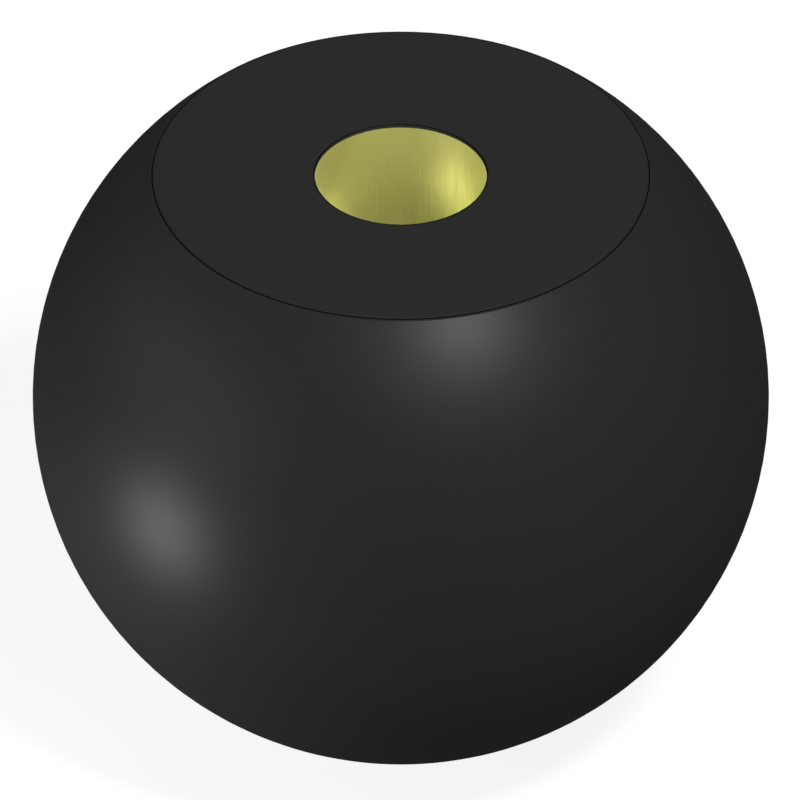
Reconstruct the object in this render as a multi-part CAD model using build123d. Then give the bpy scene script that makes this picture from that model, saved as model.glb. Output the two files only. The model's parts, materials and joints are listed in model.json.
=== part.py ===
from build123d import *
from math import radians, sqrt, tan
import os

# Ball knob for the end of a machine lever, in millimetres: a phenolic ball with one flat
# side, moulded around a turned and knurled brass insert.
# The origin is the centre of the hole's mouth on the flat face, and +Z points out of the hole.

# Ball
BALL_DIAMETER = 35.0
SLICE_HEIGHT = 4.6         # what the flat face takes off the sphere
RIM_CHAMFER = 0.15         # edge between the flat face and the sphere

# Hole, for a lever whose end is a plain shank with a thread at its tip
THREAD_DIAMETER = 8.0      # metric coarse, and the same as the shank
THREAD_PITCH = 1.25
SHANK_CLEARANCE = 0.1      # all round the shank, in the plain lead-in
LEAD_IN_DEPTH = 6.2        # plain stretch, from the flat face
FULL_THREAD_LENGTH = 8.0
TAP_TAPER_TURNS = 2        # shallow turns that the tap leaves below the full thread
DRILL_POINT_ANGLE = 118.0

# Insert, turned from straight-knurled bar
NOSE_COVER = 0.15          # skin of the ball over the insert's upper end
NOSE_WALL = 1.2            # brass round the lead-in at that end, where the knurl is turned off
NOSE_LENGTH = 2.0
INSERT_FLOOR = 1.4         # brass below the tip of the drilled hole
NECK_WIDTH = 3.0           # groove that fills with ball material, so the insert can't pull out
KNURL_HEIGHT = 1.2         # from the floor of the groove to the crests of the knurl
KNURL_TEETH = 30           # they keep the insert from turning
KNURL_DEPTH = 0.6

ball_radius = BALL_DIAMETER / 2
ball_height = BALL_DIAMETER - SLICE_HEIGHT
ball_centre = ball_radius - ball_height
flat_radius = sqrt(ball_radius**2 - ball_centre**2)

lead_in_radius = THREAD_DIAMETER / 2 + SHANK_CLEARANCE
core_radius = (THREAD_DIAMETER - THREAD_PITCH) / 2
core_top = -LEAD_IN_DEPTH - (lead_in_radius - core_radius)
core_bottom = core_top - FULL_THREAD_LENGTH - TAP_TAPER_TURNS * THREAD_PITCH
drill_tip = core_bottom - core_radius / tan(radians(DRILL_POINT_ANGLE / 2))

nose = -NOSE_COVER
tail = drill_tip - INSERT_FLOOR
neck_radius = lead_in_radius + NOSE_WALL
crest_radius = neck_radius + KNURL_HEIGHT


def turned(*outline):
    """A solid of revolution about Z, from an outline of (radius, height) points."""
    return revolve(Plane.XZ * make_face(Polyline(*outline, close=True)), Axis.Z)


def sliced_sphere():
    """The ball as a plain solid, with its flat face up."""
    outside = ThreePointArc((0, -ball_height), (ball_radius, ball_centre), (flat_radius, 0))
    inside = Polyline((flat_radius, 0), (0, 0), (0, -ball_height))
    solid = revolve(Plane.XZ * make_face(outside + inside), Axis.Z)
    flat_face = solid.faces().sort_by(Axis.Z)[-1]
    return chamfer(flat_face.edges(), RIM_CHAMFER)


def drilled_hole():
    """The lead-in, its countersink, the core that is tapped and the drill's point.

    It starts well above the flat face, so that it cuts both pieces.
    """
    return turned(
        (0, ball_radius),
        (lead_in_radius, ball_radius),
        (lead_in_radius, -LEAD_IN_DEPTH),
        (core_radius, core_top),
        (core_radius, core_bottom),
        (0, drill_tip),
    )


def knurled_section():
    """Section of the bar that the insert is made from: straight V teeth with sharp crests."""
    half_pitch = 180 / KNURL_TEETH
    crest = Vector(crest_radius, 0)
    root = Vector(crest_radius - KNURL_DEPTH, 0)
    outline = []
    for tooth in range(KNURL_TEETH):
        outline.append(crest.rotate(Axis.Z, 2 * tooth * half_pitch))
        outline.append(root.rotate(Axis.Z, (2 * tooth + 1) * half_pitch))
    return make_face(Polyline(*outline, close=True))


def knurled_band(bottom, top):
    """A stretch of the bar between two heights."""
    return extrude(Pos(0, 0, bottom) * knurled_section(), top - bottom)


def undrilled_insert():
    """The insert's outside: two knurled bands on a bar turned down at its nose and its neck."""
    shoulder = nose - NOSE_LENGTH
    neck_middle = (shoulder + tail) / 2
    bar = turned((0, nose), (neck_radius, nose), (neck_radius, tail), (0, tail))
    upper = knurled_band(neck_middle + NECK_WIDTH / 2, shoulder)
    lower = knurled_band(tail, neck_middle - NECK_WIDTH / 2)
    return bar + upper + lower


def moulded_ball(blank, pin):
    """The ball, moulded around the insert and the pin that keeps the hole's mouth open."""
    return sliced_sphere() - blank - pin


hole = drilled_hole()
insert_blank = undrilled_insert()

os.makedirs("parts", exist_ok=True)
export_step(insert_blank - hole, "parts/threaded_insert.step")
export_step(moulded_ball(insert_blank, hole), "parts/ball.step")
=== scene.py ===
import json
from math import ceil, cos, pi, radians, sin, tan

import bmesh
import bpy
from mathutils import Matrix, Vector


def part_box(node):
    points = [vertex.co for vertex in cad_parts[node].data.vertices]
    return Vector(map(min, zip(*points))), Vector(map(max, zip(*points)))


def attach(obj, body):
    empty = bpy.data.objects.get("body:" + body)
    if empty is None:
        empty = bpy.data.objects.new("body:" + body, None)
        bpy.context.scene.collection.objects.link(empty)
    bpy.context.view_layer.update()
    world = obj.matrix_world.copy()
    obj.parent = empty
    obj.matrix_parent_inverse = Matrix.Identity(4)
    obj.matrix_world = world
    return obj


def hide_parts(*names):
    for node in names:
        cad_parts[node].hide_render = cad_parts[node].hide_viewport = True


# A black ball knob with one flat side, moulded around a threaded brass insert, on a pale floor.
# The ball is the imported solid. The insert is made again here, with the helix of its thread.
# Lengths are in metres, in the row frame: the hole's mouth is at the origin, and +Z points
# out of the hole.

MM = 0.001

# The photograph's view. The ball's place and width are in its 800 by 800 pixels.
PHOTO_SIDE = 800
BALL_WIDTH = 736.4
BALL_PLACE = Vector((400.8, 396.4))
VIEW_ELEVATION = radians(35.264)
CAMERA_DISTANCE = 200 * MM

# Sizes of the insert that its box and mounts don't give
LEAD_IN_DEPTH = 6.2 * MM
THREAD_PITCH = 1.25 * MM
THREAD_RADIUS = 4.0 * MM
THREAD_HALF_ANGLE = radians(30)
GROOVE_FLOOR = THREAD_PITCH / 8
TAP_TAPER = 2.5 * MM
DRILL_HALF_ANGLE = radians(59)
NOSE_WALL = 1.2 * MM
NOSE_LENGTH = 2.0 * MM
NECK_WIDTH = 3.0 * MM
KNURL_TEETH = 30
KNURL_DEPTH = 0.6 * MM

# Fineness of the insert's mesh
STEPS_PER_TOOTH = 6
FLANK_STEPS = 4
MERGE_DISTANCE = MM / 1000
SHARP_ANGLE = radians(25)

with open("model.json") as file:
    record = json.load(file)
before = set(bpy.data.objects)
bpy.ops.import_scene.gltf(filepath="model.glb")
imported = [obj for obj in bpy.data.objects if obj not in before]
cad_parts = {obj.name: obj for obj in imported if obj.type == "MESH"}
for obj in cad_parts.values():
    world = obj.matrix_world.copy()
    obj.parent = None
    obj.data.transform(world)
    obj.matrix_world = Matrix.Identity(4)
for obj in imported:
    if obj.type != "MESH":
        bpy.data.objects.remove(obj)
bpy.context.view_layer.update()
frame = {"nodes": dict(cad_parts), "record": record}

mounts = {mount["name"]: mount["dims"] for mount in frame["record"]["mounts"]}
lead_in_radius = mounts["shank_bore"]["r_mm"] * MM
core_radius = mounts["thread"]["r_mm"] * MM
core_length = mounts["thread"]["length_mm"] * MM
groove_full_depth = THREAD_RADIUS - core_radius
flank_width = groove_full_depth * tan(THREAD_HALF_ANGLE)

ball_low, ball_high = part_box("ball")
ball_radius = ball_high.x
ball_centre = Vector((0, 0, ball_low.z + ball_radius))
flat_radius = (ball_radius**2 - ball_centre.z**2) ** 0.5
floor_height = ball_low.z

insert_low, insert_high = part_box("threaded_insert")
nose = insert_high.z
tail = insert_low.z
crest_radius = insert_high.x


# Small helpers for meshes

def new_piece(name, mesh):
    """An object that shows the mesh, at the frame's origin."""
    piece = bpy.data.objects.new(name, mesh)
    bpy.context.scene.collection.objects.link(piece)
    return piece


def polar(radius, angle, height):
    """The point at that radius and angle about the hole's axis."""
    return Vector((radius * cos(angle), radius * sin(angle), height))


# Threaded insert

around = KNURL_TEETH * STEPS_PER_TOOTH
step = 2 * pi / around


def knurl_radius(angle):
    """Radius of the insert's outline at an angle: V teeth with straight flanks."""
    half_pitch = pi / KNURL_TEETH
    root_radius = crest_radius - KNURL_DEPTH
    off_crest = abs((angle + half_pitch) % (2 * half_pitch) - half_pitch)
    return crest_radius * root_radius * sin(half_pitch) / (
        crest_radius * sin(off_crest) + root_radius * sin(half_pitch - off_crest)
    )


def groove_depth(turn):
    """How far the thread cuts into the core's wall, at a fraction of a pitch along the axis.

    The groove has straight flanks and a flat floor, and its middle is at half a pitch.
    """
    half_width = GROOVE_FLOOR / 2 + flank_width
    off_middle = abs(turn - 0.5) * THREAD_PITCH
    depth = (half_width - off_middle) / tan(THREAD_HALF_ANGLE)
    return min(max(depth, 0), groove_full_depth)


def pitch_fractions():
    """Where the thread's profile has its corners and the points between, over one pitch."""
    flank = flank_width / THREAD_PITCH
    half_floor = GROOVE_FLOOR / 2 / THREAD_PITCH
    fractions = [0.0]
    for n in range(FLANK_STEPS + 1):
        fractions.append(0.5 - half_floor - flank * (1 - n / FLANK_STEPS))
    for n in range(FLANK_STEPS + 1):
        fractions.append(0.5 + half_floor + flank * n / FLANK_STEPS)
    return fractions


def add_rings(mesh, outline):
    """Joins rings of points, one for each (radius function, height) of the outline."""
    rings = []
    for radius, height in outline:
        rings.append(
            [mesh.verts.new(polar(radius(n * step), n * step, height)) for n in range(around)]
        )
    for upper, lower in zip(rings, rings[1:]):
        for n in range(around):
            after = (n + 1) % around
            mesh.faces.new((upper[n], upper[after], lower[after], lower[n]))
    return rings


def close_ring(mesh, ring, tip):
    """Closes a ring with a fan of triangles to one point."""
    point = mesh.verts.new(tip)
    for n in range(around):
        mesh.faces.new((ring[n], ring[(n + 1) % around], point))


def add_thread(mesh, top, core_top, bottom):
    """The tapped wall, as one ribbon that winds down the core from the countersink.

    Rows past either end are clipped to it, where they coincide and are merged later.
    """
    fractions = pitch_fractions()
    turns = ceil((top - bottom) / THREAD_PITCH) + 2

    def wall_point(along, fraction):
        height = top + THREAD_PITCH - THREAD_PITCH * (along / around + fraction)
        height = min(max(height, bottom), top)
        left_by_tap = (height - bottom) / TAP_TAPER * groove_full_depth
        radius = core_radius + min(groove_depth(fraction), left_by_tap)
        countersink = core_radius + height - core_top
        return polar(max(radius, countersink), along * step, height)

    ribbon = []
    for along in range(turns * around):
        ribbon.append([mesh.verts.new(wall_point(along, f)) for f in fractions])
    rows = len(fractions)
    for along in range((turns - 1) * around - 1):
        for row in range(rows):
            if row + 1 < rows:
                below = (ribbon[along + 1][row + 1], ribbon[along][row + 1])
            else:
                below = (ribbon[along + 1 + around][0], ribbon[along + around][0])
            mesh.faces.new((ribbon[along][row], ribbon[along + 1][row], *below))


def make_insert():
    """The turned, knurled and tapped brass insert, closed at its lower end."""
    neck_radius = lead_in_radius + NOSE_WALL
    shoulder = nose - NOSE_LENGTH
    neck_middle = (shoulder + tail) / 2
    upper_band_end = neck_middle + NECK_WIDTH / 2
    lower_band_end = neck_middle - NECK_WIDTH / 2

    lead_in_end = -LEAD_IN_DEPTH
    core_top = lead_in_end - (lead_in_radius - core_radius)
    core_bottom = core_top - core_length
    drill_tip = core_bottom - core_radius / tan(DRILL_HALF_ANGLE)

    def lead_in(angle):
        return lead_in_radius

    def core(angle):
        return core_radius

    def neck(angle):
        return neck_radius

    mesh = bmesh.new()
    outside = add_rings(mesh, [
        (lead_in, lead_in_end),
        (lead_in, nose),
        (neck, nose),
        (neck, shoulder),
        (knurl_radius, shoulder),
        (knurl_radius, upper_band_end),
        (neck, upper_band_end),
        (neck, lower_band_end),
        (knurl_radius, lower_band_end),
        (knurl_radius, tail),
    ])
    close_ring(mesh, outside[-1], Vector((0, 0, tail)))
    add_thread(mesh, lead_in_end, core_top, core_bottom)
    floor_ring = add_rings(mesh, [(core, core_bottom)])
    close_ring(mesh, floor_ring[0], Vector((0, 0, drill_tip)))

    bmesh.ops.remove_doubles(mesh, verts=mesh.verts, dist=MERGE_DISTANCE)
    bmesh.ops.dissolve_degenerate(mesh, edges=mesh.edges, dist=MERGE_DISTANCE)
    bmesh.ops.recalc_face_normals(mesh, faces=mesh.faces)
    data = bpy.data.meshes.new("brass_insert")
    mesh.to_mesh(data)
    mesh.free()
    data.shade_smooth()
    data.set_sharp_from_angle(angle=SHARP_ANGLE)
    return new_piece("brass_insert", data)


# Materials

class Nodes:
    """Adds nodes to a material and links them, one short call for each."""

    def __init__(self, owner, output="ShaderNodeOutputMaterial"):
        owner.use_nodes = True
        self.tree = owner.node_tree
        self.tree.nodes.clear()
        self.output = self.add(output)

    def add(self, kind, settings=None, **inputs):
        """A node. Inputs are numbers, colours or the outputs of other nodes, by socket name."""
        node = self.tree.nodes.new(kind)
        for name, value in (settings or {}).items():
            setattr(node, name, value)
        for name, value in inputs.items():
            socket = node.inputs[name.replace("_", " ")]
            self.put(socket, value)
        return node

    def put(self, socket, value):
        """Sets a socket, or links it to another node's output."""
        if isinstance(value, bpy.types.NodeSocket):
            self.tree.links.new(value, socket)
        else:
            socket.default_value = value

    def math(self, operation, first, second=0.0):
        """A Math node's result."""
        node = self.add("ShaderNodeMath", {"operation": operation})
        self.put(node.inputs[0], first)
        self.put(node.inputs[1], second)
        return node.outputs[0]

    def spread(self, value, low, high):
        """Maps 0 to 1 onto low to high."""
        node = self.add("ShaderNodeMapRange", Value=value, To_Min=low, To_Max=high)
        return node.outputs["Result"]

    def blend(self, fraction, first, second):
        """A colour between two colours."""
        node = self.add("ShaderNodeMix", {"data_type": "RGBA"})
        self.put(node.inputs["Factor"], fraction)
        # The Mix node's colour sockets share their names with others, so they go by number.
        self.put(node.inputs[6], first)
        self.put(node.inputs[7], second)
        return node.outputs[2]

    def upward(self):
        """How far the surface faces along the hole's axis: 1 on the flat, 0 on the bore's wall."""
        normal = self.add("ShaderNodeNewGeometry").outputs["Normal"]
        return self.add("ShaderNodeSeparateXYZ", Vector=normal).outputs["Z"]

    def off_axis(self, place):
        """Distance of a place from the hole's axis."""
        parts = self.add("ShaderNodeSeparateXYZ", Vector=place)
        across = self.math("POWER", parts.outputs["X"], 2)
        along = self.math("POWER", parts.outputs["Y"], 2)
        return self.math("SQRT", self.math("ADD", across, along))


def grey(level):
    return (level, level, level, 1)


PLASTIC_DARK = grey(0.0092)
PLASTIC_LIGHT = grey(0.0108)
PLASTIC_ROUGHNESS = (0.48, 0.54)
PLASTIC_CLOUDS_PER_METRE = 350
# Near-black of the painted shade lines round the flat's rim and the hole's mouth
PAINTED_SHADE_LINE_BLACK = grey(0.002)
# Paler wall of the mouth's skin: trimmed, and painted light that lifts its shade
TRIMMED_SKIN_AND_PAINTED_LIGHT = grey(0.026)
FLAT_EDGE_WIDTH = 0.06 * MM
MOUTH_EDGE_WIDTH = 0.12 * MM
SKIN_PITS_PER_METRE = 2500
SKIN_PIT_DEPTH = 0.02 * MM
SKIN_PIT_STRENGTH = 0.04
COAT_WEIGHT = 0.03
COAT_ROUGHNESS = 0.44
COAT_IOR = 4.0


def make_plastic():
    """Satin black thermoset with faint clouding, a fine moulded skin, and dull, sharp edges in
    painted shade.

    A weak, dense coat gives broad highlights without a bright rim all round the ball. The thin
    skin over the insert's end is a little paler on its wall, where it was trimmed, and is
    painted lighter there too, as painted light that lifts the shade on that wall.
    """
    material = bpy.data.materials.new("black_thermoset")
    nodes = Nodes(material)
    place = nodes.add("ShaderNodeTexCoord").outputs["Object"]
    clouding = nodes.add(
        "ShaderNodeTexNoise",
        Vector=place,
        Scale=PLASTIC_CLOUDS_PER_METRE,
        Detail=4,
        Roughness=0.6,
    ).outputs["Fac"]
    radius = nodes.off_axis(place)

    def near_ring(ring_radius, width):
        off_ring = nodes.math("ABSOLUTE", nodes.math("SUBTRACT", radius, ring_radius))
        return nodes.math("LESS_THAN", off_ring, width / 2)

    faces_up = nodes.math("GREATER_THAN", nodes.upward(), 0.5)
    flat_ring = near_ring(flat_radius, FLAT_EDGE_WIDTH)
    mouth_ring = near_ring(lead_in_radius, MOUTH_EDGE_WIDTH)
    # Painted shade: near-black lines round the flat's rim and the mouth, where the coat is also
    # left off.
    painted_shade_edge = nodes.math("MULTIPLY", nodes.math("MAXIMUM", flat_ring, mouth_ring), faces_up)
    # Painted light: the skin's wall at the mouth is made paler, partly for its trimming and partly
    # to lift its shade.
    trimmed_and_painted_light = nodes.math("GREATER_THAN", mouth_ring, faces_up)

    body = nodes.blend(clouding, PLASTIC_DARK, PLASTIC_LIGHT)
    colour = nodes.blend(painted_shade_edge, nodes.blend(trimmed_and_painted_light, body, TRIMMED_SKIN_AND_PAINTED_LIGHT), PAINTED_SHADE_LINE_BLACK)
    pits = nodes.add(
        "ShaderNodeTexNoise", Vector=place, Scale=SKIN_PITS_PER_METRE, Detail=3
    ).outputs["Fac"]
    bump = nodes.add(
        "ShaderNodeBump", Strength=SKIN_PIT_STRENGTH, Distance=SKIN_PIT_DEPTH, Height=pits
    )
    shader = nodes.add(
        "ShaderNodeBsdfPrincipled",
        Base_Color=colour,
        Roughness=nodes.spread(clouding, *PLASTIC_ROUGHNESS),
        Specular_IOR_Level=0.0,
        Coat_Weight=nodes.spread(painted_shade_edge, COAT_WEIGHT, 0),
        Coat_Roughness=COAT_ROUGHNESS,
        Coat_IOR=COAT_IOR,
        Normal=bump.outputs["Normal"],
        Coat_Normal=bump.outputs["Normal"],
    )
    nodes.put(nodes.output.inputs["Surface"], shader.outputs["BSDF"])
    return material


BRASS_DARK = (0.815, 0.808, 0.438, 1)
BRASS_LIGHT = (0.875, 0.868, 0.485, 1)
BRASS_ROUGHNESS = (0.41, 0.45)
BRASS_CLOUDS_PER_METRE = 600
GRAIN_LINES_PER_METRE = 12000
GRAIN_STRETCH = (1, 1, 0.03)
GRAIN_DEPTH = 0.02 * MM


def make_brass():
    """Brass with a fine grain along the hole's axis, as from the pin that kept it open.

    The grain fades where the surface lies across the axis, as on the drill's point.
    """
    material = bpy.data.materials.new("turned_brass")
    nodes = Nodes(material)
    place = nodes.add("ShaderNodeTexCoord").outputs["Object"]
    stretched = nodes.add("ShaderNodeMapping", Vector=place, Scale=GRAIN_STRETCH)
    grain = nodes.add(
        "ShaderNodeTexNoise",
        Vector=stretched.outputs["Vector"],
        Scale=GRAIN_LINES_PER_METRE,
        Detail=2,
    ).outputs["Fac"]
    clouding = nodes.add(
        "ShaderNodeTexNoise", Vector=place, Scale=BRASS_CLOUDS_PER_METRE, Detail=3
    ).outputs["Fac"]
    along_axis = nodes.math("SUBTRACT", 1, nodes.math("ABSOLUTE", nodes.upward()))
    bump = nodes.add("ShaderNodeBump", Strength=along_axis, Distance=GRAIN_DEPTH, Height=grain)
    shader = nodes.add(
        "ShaderNodeBsdfPrincipled",
        Base_Color=nodes.blend(clouding, BRASS_DARK, BRASS_LIGHT),
        Metallic=1.0,
        Roughness=nodes.spread(grain, *BRASS_ROUGHNESS),
        Normal=bump.outputs["Normal"],
    )
    nodes.put(nodes.output.inputs["Surface"], shader.outputs["BSDF"])
    return material


def seen_rays(nodes):
    """1 for a ray from the camera, a mirror or glass, and 0 for the rays that light the knob."""
    rays = nodes.add("ShaderNodeLightPath").outputs
    mirrored = nodes.math("ADD", rays["Is Glossy Ray"], rays["Is Transmission Ray"])
    return nodes.math("MINIMUM", nodes.math("ADD", rays["Is Camera Ray"], mirrored), 1)


FLOOR_MATTE = grey(0.15)
FLOOR_GLOW = 0.88


def make_floor_material():
    """Pale and plain. Seen or mirrored it is white, and its matte share keeps the shadow."""
    material = bpy.data.materials.new("pale_floor")
    nodes = Nodes(material)
    matte = nodes.add("ShaderNodeBsdfDiffuse", Color=FLOOR_MATTE)
    glow = nodes.add("ShaderNodeEmission", Color=grey(1))
    nodes.put(glow.inputs["Strength"], nodes.math("MULTIPLY", seen_rays(nodes), FLOOR_GLOW))
    both = nodes.add("ShaderNodeAddShader")
    nodes.put(both.inputs[0], matte.outputs["BSDF"])
    nodes.put(both.inputs[1], glow.outputs["Emission"])
    nodes.put(nodes.output.inputs["Surface"], both.outputs["Shader"])
    return material


# Floor, light and camera

FLOOR_RADIUS = 600 * MM
FLOOR_SEGMENTS = 96
STUDIO_LAMP_DISTANCE = 350 * MM
NEAREST_SEEN = 1 * MM
FARTHEST_SEEN = 5000 * MM


def make_floor():
    """A round, level floor that the knob stands on."""
    mesh = bmesh.new()
    rim = []
    for n in range(FLOOR_SEGMENTS):
        rim.append(mesh.verts.new(polar(FLOOR_RADIUS, 2 * pi * n / FLOOR_SEGMENTS, floor_height)))
    mesh.faces.new(rim)
    data = bpy.data.meshes.new("floor")
    mesh.to_mesh(data)
    mesh.free()
    return new_piece("floor", data)


def soft_lamp(name, direction, distance, size, irradiance):
    """An oval soft lamp that faces the ball, of that width and height.

    Irradiance is about what it brings at the ball's centre.
    """
    data = bpy.data.lights.new(name, "AREA")
    data.shape = "ELLIPSE"
    data.size, data.size_y = size
    data.energy = irradiance * pi * distance**2
    lamp = bpy.data.objects.new(name, data)
    way = Vector(direction).normalized()
    lamp.location = ball_centre + distance * way
    lamp.rotation_euler = (-way).to_track_quat("-Z", "Y").to_euler()
    lamp.visible_camera = False
    bpy.context.scene.collection.objects.link(lamp)
    return lamp


def make_world(ambient):
    """Dim, even light from all round, and white where it is seen or mirrored."""
    world = bpy.data.worlds.new("studio")
    nodes = Nodes(world, "ShaderNodeOutputWorld")
    background = nodes.add("ShaderNodeBackground", Color=grey(1))
    nodes.put(background.inputs["Strength"], nodes.math("MAXIMUM", seen_rays(nodes), ambient))
    nodes.put(nodes.output.inputs["Surface"], background.outputs["Background"])
    bpy.context.scene.world = world


def make_camera():
    """No perspective, as in the photograph, with the ball where it is there."""
    pixel = 2 * ball_radius / BALL_WIDTH
    right = Vector((1, 0, 0))
    up = Vector((0, sin(VIEW_ELEVATION), cos(VIEW_ELEVATION)))
    back = right.cross(up)
    off_middle = BALL_PLACE - Vector((PHOTO_SIDE, PHOTO_SIDE)) / 2
    aim = ball_centre - right * off_middle.x * pixel + up * off_middle.y * pixel

    data = bpy.data.cameras.new("camera")
    data.type = "ORTHO"
    data.ortho_scale = PHOTO_SIDE * pixel
    data.clip_start = NEAREST_SEEN
    data.clip_end = FARTHEST_SEEN
    camera = bpy.data.objects.new("camera", data)
    camera.location = aim + back * CAMERA_DISTANCE
    camera.rotation_euler = back.to_track_quat("Z", "Y").to_euler()
    bpy.context.scene.collection.objects.link(camera)
    bpy.context.scene.camera = camera


# The scene

frame["nodes"]["ball"].material_slots[0].material = make_plastic()

insert = make_insert()
insert.data.materials.append(make_brass())
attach(insert, "root")
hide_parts("threaded_insert")

floor = make_floor()
floor.data.materials.append(make_floor_material())

# The key makes the highlight under the flat, and the small low lamp makes the one at the left.
soft_lamp(
    "key",
    direction=(0.31, -0.49, 0.81),
    distance=STUDIO_LAMP_DISTANCE,
    size=(60 * MM, 60 * MM),
    irradiance=3.35,
)
soft_lamp(
    "low_left",
    direction=(-37.3, -19.9, -11.5),
    distance=43.8 * MM,
    size=(14 * MM, 14 * MM),
    irradiance=2.2,
)
soft_lamp(
    "left",
    direction=(-0.94, -0.25, 0.24),
    distance=STUDIO_LAMP_DISTANCE,
    size=(520 * MM, 150 * MM),
    irradiance=0.97,
)
soft_lamp(
    "back",
    direction=(0, 0.94, 0.33),
    distance=STUDIO_LAMP_DISTANCE,
    size=(220 * MM, 140 * MM),
    irradiance=0.29,
)
make_world(ambient=0.1)
make_camera()
bpy.context.scene.view_settings.view_transform = "Standard"
